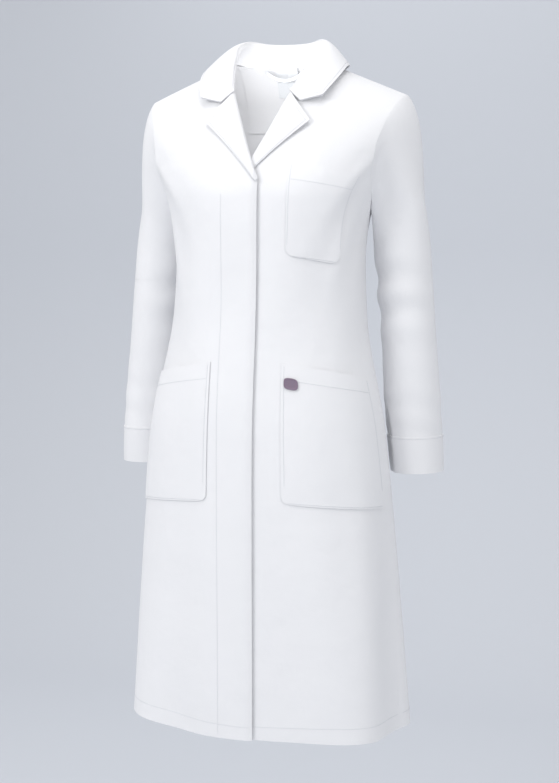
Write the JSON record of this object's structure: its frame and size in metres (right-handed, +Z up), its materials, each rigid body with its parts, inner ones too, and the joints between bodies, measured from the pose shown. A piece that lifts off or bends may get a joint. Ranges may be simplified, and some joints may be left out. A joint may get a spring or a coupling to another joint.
{
  "type": "lab coat",
  "caption": "Knee-length white lab coat on an unseen wearer, with a notched collar, covered button front, long sleeves, breast pocket and hip pockets.",
  "frame": {"origin": "middle of the back neck, where the collar meets the back", "axes": "+Z up the wearer, front towards -Y, the wearer's left towards +X"},
  "size_m": [0.5442, 0.2778, 1.0513],
  "materials": {
    "cloth": "matte",
    "stitched_band": "matte",
    "button": "satin",
    "label": "matte",
    "badge": "matte"
  },
  "bodies": {
    "body": {"left_front_upper": "cloth", "right_front_upper": "cloth", "left_back_upper": "cloth", "right_back_upper": "cloth", "left_back_lower": "cloth", "right_back_lower": "cloth", "back_neck_facing": "cloth", "collar_stand": "cloth", "upper_collar": "cloth", "under_collar": "cloth", "left_lapel": "cloth", "right_lapel": "cloth", "neck_label": "label", "fly_band_upper": "stitched_band", "fly_button_1": "button", "fly_button_2": "button", "breast_pocket": "cloth", "breast_pocket_hem": "stitched_band"},
    "right_front": {"right_front_lower": "cloth", "right_front_facing": "cloth", "fly_band_lower": "stitched_band", "right_hip_pocket": "cloth", "right_hip_pocket_hem": "stitched_band"},
    "left_front": {"left_front_lower": "cloth", "left_front_facing": "cloth", "fly_button_3": "button", "fly_button_4": "button", "fly_button_5": "button", "fly_button_6": "button", "left_hip_pocket": "cloth", "left_hip_pocket_hem": "stitched_band", "pocket_badge": "badge"},
    "left_upper_sleeve": {"left_top_sleeve_upper": "cloth", "left_under_sleeve_upper": "cloth"},
    "right_upper_sleeve": {"right_top_sleeve_upper": "cloth", "right_under_sleeve_upper": "cloth"},
    "left_forearm": {"left_top_sleeve_lower": "cloth", "left_under_sleeve_lower": "cloth", "left_cuff": "cloth"},
    "right_forearm": {"right_top_sleeve_lower": "cloth", "right_under_sleeve_lower": "cloth", "right_cuff": "cloth"},
    "loop": {"hanger_loop": "cloth"},
    "care_flap": {"care_label": "label"}
  },
  "joints": [
    {"name": "right_front_open", "type": "hinge", "parent": "body", "child": "right_front", "pos_m": [-0.156, -0.119, -0.312], "axis": [-0.0793, -0.0043, -0.9968], "range_deg": [0, 32]},
    {"name": "left_front_open", "type": "hinge", "parent": "body", "child": "left_front", "pos_m": [0.156, -0.119, -0.312], "axis": [-0.0793, 0.0043, 0.9968], "range_deg": [0, 20]},
    {"name": "left_sleeve_raise", "type": "hinge", "parent": "body", "child": "left_upper_sleeve", "pos_m": [0.2025, -0.041, -0.047], "axis": [0, -1, 0], "range_deg": [0, 75]},
    {"name": "right_sleeve_raise", "type": "hinge", "parent": "body", "child": "right_upper_sleeve", "pos_m": [-0.2025, -0.041, -0.047], "axis": [0, 1, 0], "range_deg": [0, 75]},
    {"name": "left_elbow_bend", "type": "hinge", "parent": "left_upper_sleeve", "child": "left_forearm", "pos_m": [0.2065, -0.086, -0.345], "axis": [-0.9578, -0.2873, 0], "range_deg": [0, 80]},
    {"name": "right_elbow_bend", "type": "hinge", "parent": "right_upper_sleeve", "child": "right_forearm", "pos_m": [-0.2065, -0.086, -0.345], "axis": [-0.9578, 0.2873, 0], "range_deg": [0, 80]},
    {"name": "hanger_loop_flip", "type": "hinge", "parent": "body", "child": "loop", "pos_m": [0, -0.016, -0.006], "axis": [-1, 0, 0], "range_deg": [0, 150]},
    {"name": "care_label_lift", "type": "hinge", "parent": "body", "child": "care_flap", "pos_m": [0, -0.0005, -0.0205], "axis": [-1, 0, 0], "range_deg": [0, 60]}
  ],
  "couplings": [
    {"joint": "left_front_open", "follows": "right_front_open", "ratio": 0.6}
  ]
}
